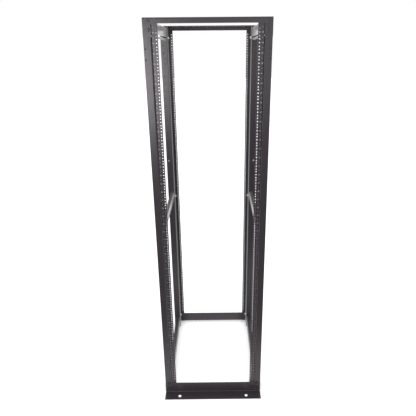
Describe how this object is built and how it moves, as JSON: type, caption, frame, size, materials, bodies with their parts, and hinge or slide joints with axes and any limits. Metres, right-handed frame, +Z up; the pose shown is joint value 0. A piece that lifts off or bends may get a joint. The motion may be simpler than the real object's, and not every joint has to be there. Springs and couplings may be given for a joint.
{
  "type": "four-post open frame rack",
  "caption": "Open equipment rack: slotted corner posts with punched mounting flanges, joined by top beams, foot angles on the floor and channel braces along the sides.",
  "frame": {"origin": "on the floor, in the middle of the rack's footprint", "axes": "+X to the right seen from the front, +Y to the rear, +Z up"},
  "size_m": [0.5842, 0.827, 2.1336],
  "materials": {
    "powder_coat": "black semi-gloss powder coat on folded sheet steel",
    "zinc_plate": "bright zinc plate on bolts and nuts",
    "printed_mark": "light grey screen-printed numbers and lines"
  },
  "bodies": {
    "root": {"front_left_post": "powder_coat", "front_right_post": "powder_coat", "rear_left_post": "powder_coat", "rear_right_post": "powder_coat", "front_top_beam": "powder_coat", "rear_top_beam": "powder_coat", "front_foot_angle": "powder_coat", "rear_foot_angle": "powder_coat", "left_top_brace": "powder_coat", "left_middle_brace": "powder_coat", "left_bottom_brace": "powder_coat", "right_top_brace": "powder_coat", "right_middle_brace": "powder_coat", "right_bottom_brace": "powder_coat"}
  },
  "joints": []
}
